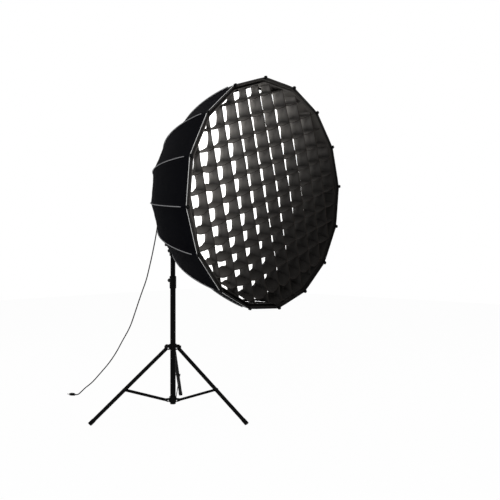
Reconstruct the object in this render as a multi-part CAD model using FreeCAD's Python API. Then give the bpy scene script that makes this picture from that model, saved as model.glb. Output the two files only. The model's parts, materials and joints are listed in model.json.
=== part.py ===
import FreeCAD
import Part
import math
import os

# Studio softbox with sixteen sides, on its LED lamp, yoke and three-legged stand.
# Millimetres, +Z up. The origin is on the floor under the column's axis, and the
# softbox faces -Y. The lamp and softbox are drawn level and then tilted as one.

# ---- stand -------------------------------------------------------------------
leg_count = 3
first_leg_azimuth = 46.9       # from +Y towards +X
leg_tube_r = 11.0
tube_wall = 1.5
slide_clearance = 0.25
pin_clearance = 0.1
foot_reach = 502.6             # radius of the leg's end at the floor
foot_axis_height = 9.6
hinge_reach = 38.4             # radius of the hinge pins
leg_hinge_height = 397.0
leg_head = 8.0                 # tube beyond its hinge
leg_pin_r = 2.5
brace_along_leg = 344.3        # from the leg's hinge to the brace's rivet
brace_hinge_height = 86.6
brace_width = 14.0
brace_thickness = 2.5
brace_gap = 1.6                # leg tube to each brace bar
foot_wall = 1.2
foot_length = 34.0
foot_overhang = 8.0

lower_tube_r = 16.25
lower_tube_bottom = 64.0
lower_tube_top = 782.0
middle_tube_r = lower_tube_r - tube_wall - slide_clearance
middle_tube_bottom = 205.0
middle_tube_top = 962.0
top_tube_r = middle_tube_r - tube_wall - slide_clearance
top_tube_bottom = 265.0
top_tube_top = 991.0

collar_wall = 5.4
collar_height = 33.0
cheek_thickness = 5.0
cheek_r = 10.0
lug_r = 9.0
lower_clamp_bottom = 750.0
lower_clamp_top = 824.0
lower_clamp_r = 20.0
lower_knob_height = 796.0
upper_clamp_bottom = 944.0
upper_clamp_top = 993.0
upper_clamp_r = 20.5
upper_knob_height = 975.0
knob_azimuth = 18.0
knob_reach = 55.0
knob_r = 12.0
knob_lobes = 5
screw_r = 4.0

# ---- yoke and stud -----------------------------------------------------------
stud_r = 7.95
stud_flange = 4.0
stud_height = 40.0
seat_gap = 0.3
socket_r = 17.0
socket_height = 42.0
stem_r = 14.0
stem_length = 56.7             # socket to the yoke's underside
yoke_rise = 206.0              # the yoke's underside to the tilt axis
yoke_plate = 6.0
yoke_width = 40.0
yoke_inner = 66.0              # half of the space between the arms
yoke_bend = 16.0
handle_rise = 14.7
handle_reach = 70.0
socket_bottom = top_tube_top + stud_flange + seat_gap
yoke_base_height = socket_bottom + socket_height + stem_length

# ---- lamp --------------------------------------------------------------------
pivot_height = yoke_base_height + yoke_rise
rest_tilt = 2.64               # front down, degrees
lamp_half_width = 60.0
lamp_half_height = 64.0
lamp_corner = 18.0
lamp_wall = 2.5
lamp_front = 118.0             # distances in front of the pivot
lamp_rear = -94.0
rear_panel_thickness = 4.0
bezel_thickness = 5.0
mouth_length = 27.0
mouth_r = 64.0
mouth_bore_r = 50.0
groove_r = 54.4
groove_rear_wall = 10.0        # behind the claws' groove
groove_width = 8.0
button_width = 12.0            # across the lamp
button_length = 15.6           # along it
button_cap_height = 5.0
button_travel = 2.5
slot_angle = 26.0
tab_angle = 22.0
lock_turn = 24.0               # from the slots to the locked rest place
tilt_bolt_r = 4.0
friction_disc_r = 18.0
lever_length = 62.0
vent_count = 9
fin_count = 11
fin_spread = 88.0
fin_thickness = 2.0
vent_pitch = 9.0
vent_width = 4.4
vent_height = 24.0
vent_first = 30.0              # first vent in front of the pivot
vent_offset = 34.0             # middle of a row of vents above or below the pivot
fan_r = 42.0
fan_blades = 7
fan_hub_r = 17.0
fan_frame_half = 46.0
fan_frame_rear = 10.0
fan_frame_front = 36.0
fan_frame_back_wall = 4.0
fan_spindle_r = 2.0
sink_base_rear = 88.0
sink_base_front = 96.0
led_plate_r = 22.0
led_window_r = 15.0
lens_r = 45.9
dial_r = 14.0
dial_x = -26.0
dial_z = -22.0
display_x = (-44.0, 16.0)
display_z = (14.0, 44.0)
switch_x = (18.0, 42.0)
switch_z = (-43.0, -27.0)
fit_gap = 0.1
inlet_x = 41.0
inlet_r = 8.0

# ---- softbox -----------------------------------------------------------------
sides = 16
side_angle = 360.0 / sides
rim_corner_r = 600.0
box_depth = 600.0
hub_profile_r = 70.0
depth_power = 1.21             # the rib's curve is a superellipse
radius_power = 3.35
box_roll = -8.32               # turn of the first corner from straight up
cloth = 1.2
cloth_hub_r = 92.0
rib_gap = 0.8
rib_size = 4.0
rib_hub_r = 74.0
rib_front_reach = 9.0          # rib beyond the rim plane
cap_r = 9.0                    # the caps stand outwards at the rim's corners
cap_out = 7.5                  # beyond the rim's corner
cap_in = 14.0
cap_round = 3.5
cap_clearance = 0.7
piping_width = 5.0
piping_height = 3.0
piping_stop = 49.0             # piping ends this far behind the rim
seam_gap = 0.1
flange_r = 96.0
flange_rear = 26.0             # in front of the lamp's mouth
flange_thickness = 4.0
hub_boss_r = 60.0
block_width = 12.0
block_depth = 11.0
hinge_pin_r = 1.5
band_front = 1.0
band_depth = 96.0
hem_depth = 96.0               # front hem of the shell, sewn to the panels behind it
hem_gap = 0.05
liner_gap = 1.0
band_cloth = 1.0
inner_diffuser_depth = 300.0
front_diffuser_depth = 92.0
diffuser_cloth = 1.0
binding_width = 7.0
binding_cloth = 1.1

# ---- honeycomb grid of cloth strips ------------------------------------------
grid_front = 8.0               # behind the rim plane
grid_depth = 80.0
grid_cloth = 1.0
border_cloth = 1.6
column_pitch = 101.0
row_pitch = 88.0
row_offset = -22.0             # the middle row below the softbox's axis
shortest_strip = 80.0          # half of the shortest strip
slot_clearance = 0.2
end_clearance = 0.3

# ---- mains lead --------------------------------------------------------------
cord_d = 7.2
relief_length = 28.0
relief_collar = 3.0
cord_points = [
    (41, 127, 1306), (41, 150, 1304), (41, 170, 1290), (42, 183, 1267), (42, 189, 1236),
    (43, 191, 1185), (41, 193, 1121), (33, 201, 1053), (24, 220, 955), (13, 238, 867),
    (8, 260, 791), (1, 295, 715), (-6, 327, 639), (-13, 358, 561), (-20, 392, 483),
    (-32, 448, 403), (-43, 499, 322), (-57, 564, 242), (-73, 638, 170), (-87, 704, 105),
    (-100, 765, 64), (-107, 803, 32), (-113, 833, 8), (-119, 862, 7),
]
plug_length = 38.0
plug_width = 24.0
plug_height = 14.0
plug_pin_r = 2.0
plug_pin_length = 19.0
plug_pin_spacing = 19.0

Vector = FreeCAD.Vector
X = Vector(1, 0, 0)
Y = Vector(0, 1, 0)
Z = Vector(0, 0, 1)
pivot = Vector(0, 0, pivot_height)
os.makedirs("parts", exist_ok=True)


# ---- helpers -----------------------------------------------------------------
def save(node, *solids):
    shape = solids[0] if len(solids) == 1 else Part.makeCompound(list(solids))
    shape.exportStep("parts/%s.step" % node)


def rod(radius, start, end):
    along = end - start
    return Part.makeCylinder(radius, along.Length, start, along)


def pipe(outer, inner, start, end):
    return rod(outer, start, end).cut(rod(inner, start, end))


def block(x0, x1, y0, y1, z0, z1):
    return Part.makeBox(x1 - x0, y1 - y0, z1 - z0, Vector(x0, y0, z0))


def turned(shape, angle, axis=Z, centre=Vector(0, 0, 0)):
    copy = shape.copy()
    copy.rotate(centre, axis, angle)
    return copy


def revolved(profile, centre, axis):
    """Solid of revolution from (radius, distance along the axis) corners."""
    side = X if abs(axis.dot(X)) < 0.5 else Z
    points = [centre + side * r + axis * a for r, a in profile]
    face = Part.Face(Part.makePolygon(points + points[:1]))
    return face.revolve(centre, axis, 360)


def at_leg(shape, number):
    """Turn a shape drawn towards +X to the direction of one leg."""
    azimuth = first_leg_azimuth + number * 360.0 / leg_count
    return turned(shape, 90.0 - azimuth)


def toward(azimuth):
    return Vector(math.sin(math.radians(azimuth)), math.cos(math.radians(azimuth)), 0)


def star_knob(centre, direction, start, reach):
    """A screw with a lobed grip, along a direction from the column's axis."""
    screw = rod(screw_r - pin_clearance, centre + direction * start, centre + direction * (reach - 8))
    grip = revolved([(0, 0), (knob_r - 4, 0), (knob_r, 5), (knob_r, 18), (knob_r - 2, 21), (0, 21)],
                    centre + direction * (reach - 21), direction)
    side = direction.cross(Z)
    for lobe in range(knob_lobes):
        place = turned_vector(side * (knob_r + 4.0), direction, lobe * 360.0 / knob_lobes)
        flute = rod(5.5, centre + place + direction * (reach - 22),
                    centre + place + direction * (reach + 1))
        grip = grip.cut(flute)
    return screw.fuse(grip).removeSplitter()


def turned_vector(vector, axis, angle):
    return FreeCAD.Rotation(axis, angle).multVec(vector)


# ---- legs, braces and their collars --------------------------------------------
leg_rise = leg_hinge_height - foot_axis_height
leg_out = foot_reach - hinge_reach
leg_length = math.hypot(leg_rise, leg_out)
leg_direction = Vector(leg_out, 0, -leg_rise) * (1.0 / leg_length)
leg_hinge = Vector(hinge_reach, 0, leg_hinge_height)
leg_end = leg_hinge + leg_direction * leg_length
rivet = leg_hinge + leg_direction * brace_along_leg
brace_hinge = Vector(hinge_reach, 0, brace_hinge_height)
brace_inner = leg_tube_r + brace_gap
brace_outer = brace_inner + brace_thickness


def make_leg():
    top = leg_hinge - leg_direction * leg_head
    tube = pipe(leg_tube_r, leg_tube_r - tube_wall, top, leg_end)
    for centre in (leg_hinge, rivet):
        hole = rod(leg_pin_r + pin_clearance, centre - Y * 20, centre + Y * 20)
        tube = tube.cut(hole)
    return tube


def make_foot():
    start = leg_end - leg_direction * (foot_length - foot_overhang)
    tip = leg_end + leg_direction * foot_overhang
    shoe = rod(leg_tube_r + foot_wall, start, tip)
    shoe = shoe.cut(rod(leg_tube_r, start, leg_end))
    below = block(0, foot_reach * 2, -foot_length, foot_length, -foot_length, 0)
    return shoe.cut(below)


def make_rivet():
    return rod(leg_pin_r, rivet - Y * (brace_inner - 0.3), rivet + Y * (brace_inner - 0.3))


def make_brace():
    along = rivet - brace_hinge
    normal = along.cross(Y).normalize() * (brace_width / 2)
    bars = []
    for side in (-1, 1):
        inner = Y * (side * brace_inner)
        corners = [brace_hinge + normal, rivet + normal, rivet - normal, brace_hinge - normal]
        face = Part.Face(Part.makePolygon([c + inner for c in corners + corners[:1]]))
        bar = face.extrude(Y * (side * brace_thickness))
        for centre in (brace_hinge, rivet):
            end = rod(brace_width / 2, centre + inner, centre + Y * (side * brace_outer))
            bar = bar.fuse(end)
        bar = bar.cut(rod(leg_pin_r + pin_clearance, brace_hinge, brace_hinge + Y * (side * 40)))
        head = rod(4.5, rivet + Y * (side * brace_outer), rivet + Y * (side * (brace_outer + 1.6)))
        bars.append(bar.fuse(head).removeSplitter())
    return Part.makeCompound(bars)


def hinge_pin(centre, half_length):
    pin = rod(leg_pin_r, centre - Y * half_length, centre + Y * half_length)
    for side in (-1, 1):
        head = rod(4.2, centre + Y * (side * half_length), centre + Y * (side * (half_length + 1.4)))
        pin = pin.fuse(head)
    return pin.removeSplitter()


def make_leg_collar():
    low = leg_hinge_height - 12
    high = low + collar_height
    bore_r = lower_tube_r + slide_clearance
    sleeve = rod(bore_r + collar_wall, Z * low, Z * high)
    cheek_inner = leg_tube_r + 0.4
    for number in range(leg_count):
        for side in (-1, 1):
            y0, y1 = sorted((side * cheek_inner, side * (cheek_inner + cheek_thickness)))
            cheek = block(bore_r + 1, hinge_reach, y0, y1, leg_hinge_height - cheek_r, high - 3)
            ear = rod(cheek_r, leg_hinge + Y * y0, leg_hinge + Y * y1)
            cap = block(hinge_reach, hinge_reach + cheek_r, y0, y1, leg_hinge_height, high - 8)
            cheek = cheek.fuse([ear, cap])
            cheek = cheek.cut(rod(leg_pin_r, leg_hinge - Y * 40, leg_hinge + Y * 40))
            sleeve = sleeve.fuse(at_leg(cheek, number))
    sleeve = sleeve.cut(rod(bore_r, Z * (low - 1), Z * (high + 1)))
    boss_direction = toward(first_leg_azimuth - 60)
    middle = Z * (low + collar_height / 2)
    boss = rod(9, middle + boss_direction * (bore_r + 1), middle + boss_direction * 30)
    sleeve = sleeve.fuse(boss)
    hole = rod(screw_r, middle, middle + boss_direction * 40)
    return sleeve.cut(hole).removeSplitter()


def make_lower_collar():
    low = brace_hinge_height - 16
    high = brace_hinge_height + 18
    collar = rod(lower_tube_r + collar_wall, Z * low, Z * high)
    half = brace_inner - seat_gap
    for number in range(leg_count):
        lug = block(lower_tube_r, hinge_reach, -half, half, brace_hinge_height - lug_r,
                    brace_hinge_height + lug_r)
        nose = rod(lug_r, brace_hinge - Y * half, brace_hinge + Y * half)
        lug = lug.fuse(nose).cut(rod(leg_pin_r, brace_hinge - Y * 40, brace_hinge + Y * 40))
        collar = collar.fuse(at_leg(lug, number))
    return collar.cut(rod(lower_tube_r, Z * (low - 1), Z * (high + 1))).removeSplitter()


def build_stand():
    legs = range(leg_count)
    for number in legs:
        name = str(number + 1)
        save("leg_" + name, at_leg(make_leg(), number), at_leg(make_rivet(), number))
        save("rubber_foot_" + name, at_leg(make_foot(), number))
        save("brace_" + name, at_leg(make_brace(), number))
    save("leg_collar", make_leg_collar())
    save("leg_hinge_pins", *[at_leg(hinge_pin(leg_hinge, leg_tube_r + cheek_thickness + 0.5),
                                    n) for n in legs])
    save("lower_collar", make_lower_collar())
    save("brace_hinge_pins", *[at_leg(hinge_pin(brace_hinge, brace_outer + 0.2), n) for n in legs])
    middle = Z * (leg_hinge_height - 12 + collar_height / 2)
    collar_direction = toward(first_leg_azimuth - 60)
    save("collar_knob", star_knob(middle, collar_direction, lower_tube_r + seat_gap, knob_reach))


# ---- telescopic column ---------------------------------------------------------
def clamp(low, high, outer_r, step, big_bore, small_bore, knob_height):
    """A sleeve fixed on the end of one tube, with a boss whose screw grips the next."""
    direction = toward(knob_azimuth)
    profile = [(big_bore, low), (outer_r - 1.5, low), (outer_r, low + 3), (outer_r, high - 3),
               (outer_r - 2, high), (small_bore, high), (small_bore, step), (big_bore, step)]
    sleeve = revolved(profile, Vector(0, 0, 0), Z)
    centre = Z * knob_height
    boss = rod(9, centre + direction * (small_bore + 2), centre + direction * (knob_reach - 25))
    hole = rod(screw_r, centre, centre + direction * 60)
    return sleeve.fuse(boss).cut(hole).removeSplitter()


def build_column():
    lower = pipe(lower_tube_r, lower_tube_r - tube_wall, Z * lower_tube_bottom, Z * lower_tube_top)
    middle = pipe(middle_tube_r, middle_tube_r - tube_wall, Z * middle_tube_bottom, Z * middle_tube_top)
    top = pipe(top_tube_r, top_tube_r - tube_wall, Z * top_tube_bottom, Z * top_tube_top)
    save("lower_tube", lower)
    save("middle_tube", middle)
    save("top_tube", top)
    plug_profile = [(0, -4), (lower_tube_r, -4), (lower_tube_r, 0),
                    (lower_tube_r - tube_wall, 0), (lower_tube_r - tube_wall, 12), (0, 12)]
    save("column_plug", revolved(plug_profile, Z * lower_tube_bottom, Z))
    direction = toward(knob_azimuth)
    save("lower_clamp", clamp(lower_clamp_bottom, lower_clamp_top, lower_clamp_r, lower_tube_top,
                              lower_tube_r, middle_tube_r + slide_clearance, lower_knob_height))
    save("lower_knob", star_knob(Z * lower_knob_height, direction, middle_tube_r + seat_gap, knob_reach))
    save("upper_clamp", clamp(upper_clamp_bottom, upper_clamp_top, upper_clamp_r, middle_tube_top,
                              middle_tube_r, top_tube_r + slide_clearance, upper_knob_height))
    save("upper_knob", star_knob(Z * upper_knob_height, direction, top_tube_r + seat_gap, knob_reach))
    flange = top_tube_top + stud_flange
    bore = top_tube_r - tube_wall
    stud = [(0, top_tube_top - 20), (bore, top_tube_top - 20), (bore, top_tube_top),
            (top_tube_r, top_tube_top),
            (top_tube_r, flange), (stud_r, flange), (stud_r, flange + 12), (stud_r - 1.5, flange + 14),
            (stud_r - 1.5, flange + 20), (stud_r, flange + 22), (stud_r, flange + stud_height - 1.5),
            (stud_r - 1.5, flange + stud_height), (0, flange + stud_height)]
    save("stand_stud", revolved(stud, Vector(0, 0, 0), Z))


# ---- yoke ------------------------------------------------------------------------
handle_height = socket_bottom + handle_rise


def make_socket():
    top = socket_bottom + socket_height
    bore_r = stud_r + 0.15
    profile = [(bore_r, socket_bottom), (socket_r - 1.5, socket_bottom), (socket_r, socket_bottom + 2),
               (socket_r, top - 4), (stem_r, top), (stem_r, yoke_base_height - 10),
               (stem_r + 8, yoke_base_height - 5), (stem_r + 8, yoke_base_height), (0, yoke_base_height),
               (0, top), (bore_r, top)]
    socket = revolved(profile, Vector(0, 0, 0), Z)
    centre = Z * handle_height
    boss = rod(9, centre + Y * 10, centre + Y * 24)
    boss = boss.cut(rod(bore_r, Z * socket_bottom, Z * top))
    hole = rod(screw_r, centre, centre + Y * 40)
    return socket.fuse(boss).cut(hole).removeSplitter()


def make_handle():
    centre = Z * handle_height
    screw = rod(screw_r - pin_clearance, centre + Y * (stud_r + seat_gap), centre + Y * 30)
    grip = [(0, 25), (6, 25), (6.8, 30), (6.2, 44), (7.6, handle_reach - 6), (6.4, handle_reach - 1.5),
            (3, handle_reach), (0, handle_reach)]
    return screw.fuse(revolved(grip, centre, Y)).removeSplitter()


def make_yoke():
    outer = yoke_inner + yoke_plate
    base = yoke_base_height
    half = yoke_width / 2
    bent = block(-outer, outer, -half, half, base, pivot_height)
    inside = block(-yoke_inner, yoke_inner, -half - 1, half + 1, base + yoke_plate, pivot_height + 1)
    bent = bent.makeFillet(yoke_bend, [e for e in bent.Edges if edge_at(e, base, outer)])
    low_inside = [e for e in inside.Edges if edge_at(e, base + yoke_plate, yoke_inner)]
    inside = inside.makeFillet(yoke_bend - yoke_plate, low_inside)
    bent = bent.cut(inside)
    for side in (-1, 1):
        eye = rod(half, pivot + X * (side * yoke_inner), pivot + X * (side * outer))
        bent = bent.fuse(eye)
    bent = bent.cut(rod(tilt_bolt_r + 0.15, pivot - X * 100, pivot + X * 100))
    bent = bent.cut(rod(screw_r, Z * (base - 1), Z * (base + 10)))
    return bent.removeSplitter()


def edge_at(edge, height, reach):
    """True for an edge along Y at one height, at the outer sides of a U."""
    ends = [v.Point for v in edge.Vertexes]
    level = all(abs(p.z - height) < 0.01 for p in ends)
    return level and all(abs(abs(p.x) - reach) < 0.01 for p in ends) and abs(ends[0].x - ends[1].x) < 0.01


def build_yoke():
    save("stand_socket", make_socket())
    save("socket_handle", make_handle())
    save("yoke", make_yoke())
    top = yoke_base_height + yoke_plate
    bolt = rod(screw_r - pin_clearance, Z * yoke_base_height, Z * top)
    head = rod(8, Z * top, Z * (top + 5)).cut(Part.makeBox(6, 6, 4, Vector(-3, -3, top + 2)))
    save("yoke_bolt", bolt.fuse(head).removeSplitter())


# ---- lamp ------------------------------------------------------------------------
mouth_rear = lamp_front + bezel_thickness
mouth_front = mouth_rear + mouth_length
groove_rear = mouth_rear + groove_rear_wall
groove_front = groove_rear + groove_width
button_middle = groove_rear + groove_width / 2
panel_rear = lamp_rear - rear_panel_thickness


def ahead(distance, x=0.0, z=0.0):
    """A point this far in front of the pivot, before the rest tilt."""
    return Vector(x, -distance, pivot_height + z)


def tilted(shape):
    return turned(shape, rest_tilt, X, pivot)


def rounded_box(half_width, half_height, corner, rear, front):
    box = block(-half_width, half_width, -front, -rear, pivot_height - half_height,
                pivot_height + half_height)
    long_edges = [e for e in box.Edges if abs(e.tangentAt(e.FirstParameter).y) > 0.9]
    return box.makeFillet(corner, long_edges)


def make_housing():
    shell = rounded_box(lamp_half_width, lamp_half_height, lamp_corner, lamp_rear, lamp_front)
    inner = rounded_box(lamp_half_width - lamp_wall, lamp_half_height - lamp_wall, lamp_corner - lamp_wall,
                        lamp_rear - 1, lamp_front + 1)
    shell = shell.cut(inner)
    reach = lamp_half_width + 10
    for vent in range(vent_count):
        middle = vent_first + vent * vent_pitch
        for side in (-1, 1):
            low = pivot_height + side * vent_offset - vent_height / 2
            slot = block(-reach, reach, -middle - vent_width / 2, -middle + vent_width / 2, low,
                         low + vent_height)
            shell = shell.cut(slot)
    boss_bore = rod(tilt_bolt_r, pivot - X * 90, pivot + X * 90)
    for side in (-1, 1):
        start = pivot + X * (side * (lamp_half_width - lamp_wall))
        end = pivot + X * (side * (yoke_inner - seat_gap))
        shell = shell.fuse(rod(friction_disc_r, start, end))
    return shell.cut(boss_bore).removeSplitter()


def ring_sector(r0, r1, rear, front, width_angle, centre_angle):
    """Part of a ring about the lamp's axis."""
    ring = pipe(r1, r0, ahead(rear), ahead(front))
    reach = r1 * 2
    half = math.radians(width_angle / 2)
    side = reach * math.sin(half)
    top = reach * math.cos(half)
    corners = [ahead(rear - 1), ahead(rear - 1, -side, top), ahead(rear - 1, side, top)]
    wedge = Part.Face(Part.makePolygon(corners + corners[:1])).extrude(Y * -(front - rear + 2))
    return turned(ring.common(wedge), centre_angle, Y, pivot)


def make_mouth():
    profile = [(mouth_bore_r, mouth_rear), (mouth_r, mouth_rear), (mouth_r, mouth_front - 2),
               (mouth_r - 2, mouth_front), (mouth_bore_r, mouth_front), (mouth_bore_r, groove_front),
               (groove_r, groove_front), (groove_r, groove_rear), (mouth_bore_r, groove_rear)]
    mouth = revolved(profile, pivot, Y * -1)
    for slot in range(3):
        gap = ring_sector(mouth_bore_r - 1, groove_r, groove_rear, mouth_front + 1, slot_angle, slot * 120)
        mouth = mouth.cut(gap)
    half = button_length / 2 + 2 * fit_gap
    side = button_width / 2 + 2 * fit_gap
    pocket = block(-side, side, -button_middle - half, -button_middle + half, pivot_height + groove_r - 3,
                   pivot_height + mouth_r + 1)
    return mouth.cut(pocket).removeSplitter()


def make_button():
    """The latch button. Pressed home, its stem stays clear of the claws' groove."""
    low = pivot_height + groove_r + button_travel + fit_gap
    cap_low = pivot_height + mouth_r + button_travel + 2 * fit_gap
    half = button_length / 2
    side = button_width / 2
    stem = block(-side, side, -button_middle - half, -button_middle + half, low, cap_low)
    cap = block(-side - 3, side + 3, -button_middle - half - 2, -button_middle + half + 2, cap_low,
                cap_low + button_cap_height)
    cap = cap.makeFillet(2, [e for e in cap.Edges if min(v.Point.z for v in e.Vertexes) > cap_low + 1])
    return stem.fuse(cap).removeSplitter()


def make_heat_sink():
    """A base plate that fills the housing's section, with fins back to the fan's frame."""
    inset = lamp_wall + seat_gap
    base = rounded_box(lamp_half_width - inset, lamp_half_height - inset, lamp_corner - inset,
                       sink_base_rear,
                       sink_base_front)
    fins = []
    for fin in range(fin_count):
        x = -fin_spread / 2 + fin * fin_spread / (fin_count - 1)
        half = math.sqrt((fin_spread / 2 + 2) ** 2 - x ** 2)
        fins.append(block(x - fin_thickness / 2, x + fin_thickness / 2, -sink_base_rear - 1,
                          -fan_frame_front - seat_gap, pivot_height - half, pivot_height + half))
    return base.fuse(fins).removeSplitter()


def make_fan_rotor():
    rear = fan_frame_rear + fan_frame_back_wall + 1
    front = fan_frame_front - 1
    hub = rod(fan_hub_r, ahead(rear + 1), ahead(front - 1))
    spindle = rod(fan_spindle_r, ahead(fan_frame_rear + 1), ahead(rear + 2))
    middle = (rear + front) / 2
    blades = []
    for blade in range(fan_blades):
        vane = block(-7, 7, -front + 2, -front + 3.6, pivot_height + fan_hub_r - 1,
                     pivot_height + fan_r - 1)
        vane = turned(vane, 32, Z, ahead(middle))
        blades.append(turned(vane, blade * 360.0 / fan_blades, Y, pivot))
    inner = rod(fan_r - 1, ahead(rear), ahead(front))
    return hub.fuse([b.common(inner) for b in blades] + [spindle]).removeSplitter()


def make_fan_frame():
    half = fan_frame_half
    wall = fan_frame_rear + fan_frame_back_wall
    frame = block(-half, half, -fan_frame_front, -fan_frame_rear, pivot_height - half, pivot_height + half)
    frame = frame.cut(rod(fan_r, ahead(wall - 1), ahead(fan_frame_front + 1)))
    boss_r = fan_hub_r - 2
    frame = frame.cut(pipe(fan_r, boss_r, ahead(fan_frame_rear - 1), ahead(wall)))
    spoke = block(-2, 2, -fan_frame_rear - 3, -fan_frame_rear, pivot_height + boss_r - 1,
                  pivot_height + fan_r + 1)
    spokes = [turned(spoke, 45 + 90 * k, Y, pivot) for k in range(4)]
    hole = rod(fan_spindle_r + fit_gap, ahead(fan_frame_rear - 1), ahead(wall + 1))
    return frame.fuse(spokes).cut(hole).removeSplitter()


def panel_block(across, up, rear, front, gap=0.0):
    """A block on the lamp's back, between two distances, inside its opening by a gap."""
    return block(across[0] + gap, across[1] - gap, -front, -rear, pivot_height + up[0] + gap,
                 pivot_height + up[1] - gap)


def make_rear_panel():
    panel = rounded_box(lamp_half_width, lamp_half_height, lamp_corner, panel_rear, lamp_rear)
    rear, front = panel_rear - 1, lamp_rear + 1
    dial_hole = rod(4 + 2 * fit_gap, ahead(rear, dial_x, dial_z), ahead(front, dial_x, dial_z))
    inlet_hole = rod(inlet_r, ahead(rear, inlet_x), ahead(front, inlet_x))
    window = panel_block(display_x, display_z, rear, front)
    switch_hole = panel_block(switch_x, switch_z, rear, front)
    return panel.cut(Part.makeCompound([dial_hole, window, switch_hole, inlet_hole]))


def make_dial():
    front, rear = panel_rear - 1, panel_rear - 15
    knob = rod(dial_r, ahead(front, dial_x, dial_z), ahead(rear, dial_x, dial_z))
    knob = knob.makeFillet(1.5, [e for e in knob.Edges if abs(e.BoundBox.YMax + rear) < 0.1][:1])
    spindle = rod(4, ahead(front, dial_x, dial_z), ahead(lamp_rear + 4, dial_x, dial_z))
    return knob.fuse(spindle).removeSplitter()


def make_tilt_bolts():
    """The plain bolt on one side, and the lever's threaded stud on the other."""
    inner = lamp_half_width - 6
    arm = yoke_inner + yoke_plate
    left = rod(tilt_bolt_r, pivot - X * inner, pivot - X * (arm + 1))
    head = rod(tilt_bolt_r * 2, pivot - X * (arm + seat_gap), pivot - X * (arm + 4.5))
    return left.fuse(head).removeSplitter(), rod(tilt_bolt_r, pivot + X * inner, pivot + X * (arm + 10))


def make_tilt_lever():
    start = yoke_inner + yoke_plate + 0.5
    end = start + 11.5
    hub_r = tilt_bolt_r + 7
    hub = pipe(hub_r, tilt_bolt_r + pin_clearance, pivot + X * start, pivot + X * end)
    hub = hub.fuse(rod(hub_r, pivot + X * end, pivot + X * (end + 2)))
    arm = block(start + 1.5, end, 0, lever_length, pivot_height - 5, pivot_height + 5)
    arm = arm.makeFillet(2.5, [e for e in arm.Edges if abs(e.tangentAt(e.FirstParameter).y) > 0.9])
    arm = arm.cut(rod(hub_r - 1, pivot + X * (start - 1), pivot + X * (end + 4)))
    return hub.fuse(arm).removeSplitter()


def build_lamp():
    save("lamp_housing", tilted(make_housing()))
    bezel = rounded_box(lamp_half_width, lamp_half_height, lamp_corner, lamp_front, mouth_rear)
    hole = rod(lens_r + pin_clearance, ahead(lamp_front - 1), ahead(mouth_rear + 1))
    save("front_bezel", tilted(bezel.cut(hole)))
    save("bayonet_mouth", tilted(make_mouth()))
    save("release_button", tilted(make_button()))
    save("heat_sink", tilted(make_heat_sink()))
    plate = rod(led_plate_r, ahead(sink_base_front), ahead(sink_base_front + 2))
    window = rod(led_window_r, ahead(sink_base_front + 2), ahead(sink_base_front + 3.5))
    save("led_array", tilted(plate.fuse(window).removeSplitter()))
    save("lens_glass", tilted(rod(lens_r, ahead(lamp_front - 1), ahead(lamp_front + 2))))
    save("fan_frame", tilted(make_fan_frame()))
    save("fan_rotor", tilted(make_fan_rotor()))
    save("rear_panel", tilted(make_rear_panel()))
    save("control_dial", tilted(make_dial()))
    save("display_window", tilted(panel_block(display_x, display_z, panel_rear, lamp_rear - 0.2, fit_gap)))
    save("power_switch", tilted(panel_block(switch_x, switch_z, panel_rear - 1.5, lamp_rear + 4,
                                            4 * fit_gap)))
    save("tilt_bolts", *[tilted(bolt) for bolt in make_tilt_bolts()])
    save("tilt_lever", make_tilt_lever())


# ---- softbox: the curve of a rib and what follows it ---------------------------------
flange_front = mouth_front + flange_rear + flange_thickness
hub_plane = flange_front + seat_gap
rim_front = hub_plane + box_depth      # rim plane in front of the pivot


def rib_radius(depth):
    """Radius of a corner seam at a depth behind the rim plane."""
    part = max(depth, 0.0) / box_depth
    return hub_profile_r + (rim_corner_r - hub_profile_r) * (1 - part ** depth_power) ** (1 / radius_power)


def rib_depth(radius):
    part = (radius - hub_profile_r) / (rim_corner_r - hub_profile_r)
    return box_depth * (1 - part ** radius_power) ** (1 / depth_power)


def seam_curve(start, end_radius, offset, scale=1.0):
    """Points of the seam's curve from a depth to the hub, moved outwards by an offset."""
    knee = 0.9 * box_depth
    depths = [start + (knee - start) * (i / 10.0) ** 1.6 for i in range(11)]
    line = [(d, rib_radius(d) * scale) for d in depths]
    for i in range(1, 8):
        radius = rib_radius(knee) + (end_radius - rib_radius(knee)) * i / 7.0
        line.append((rib_depth(radius), radius * scale))
    moved = []
    for i, (depth, radius) in enumerate(line):
        before = line[max(i - 1, 0)]
        after = line[min(i + 1, len(line) - 1)]
        run = math.hypot(after[0] - before[0], after[1] - before[1])
        normal = (-(after[1] - before[1]) / run, (after[0] - before[0]) / run)
        moved.append(ahead(rim_front - depth - normal[0] * offset, 0, radius + normal[1] * offset))
    return moved


def band(start, end_radius, low, high, width, scale=1.0):
    """A strip that follows the seam's curve: between two offsets, and this wide across."""
    inner = seam_curve(start, end_radius, low, scale)
    outer = seam_curve(start, end_radius, high, scale)
    curves = []
    for points in (inner, outer):
        spline = Part.BSplineCurve()
        spline.interpolate(points)
        curves.append(spline.toShape())
    ends = [Part.makeLine(inner[0], outer[0]), Part.makeLine(inner[-1], outer[-1])]
    face = Part.Face(Part.Wire(Part.__sortEdges__([curves[0], ends[1], curves[1], ends[0]])))
    face.translate(X * (-width / 2))
    return face.extrude(X * width)


def round_box(shape, offset=0.0):
    """A copy for each side about the softbox's axis, from the first corner on."""
    copies = [turned(shape, box_roll + offset + i * side_angle, Y, pivot) for i in range(sides)]
    return [tilted(copy) for copy in copies]


def rim_polygon(radius, depth, angle_offset=0.0):
    points = []
    for i in range(sides + 1):
        angle = math.radians(box_roll + angle_offset + i * side_angle)
        points.append(ahead(rim_front - depth, radius * math.sin(angle), radius * math.cos(angle)))
    return Part.makePolygon(points)


def polygon_plate(radius, depth, thickness):
    return Part.Face(rim_polygon(radius, depth)).extrude(Y * thickness)


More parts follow.
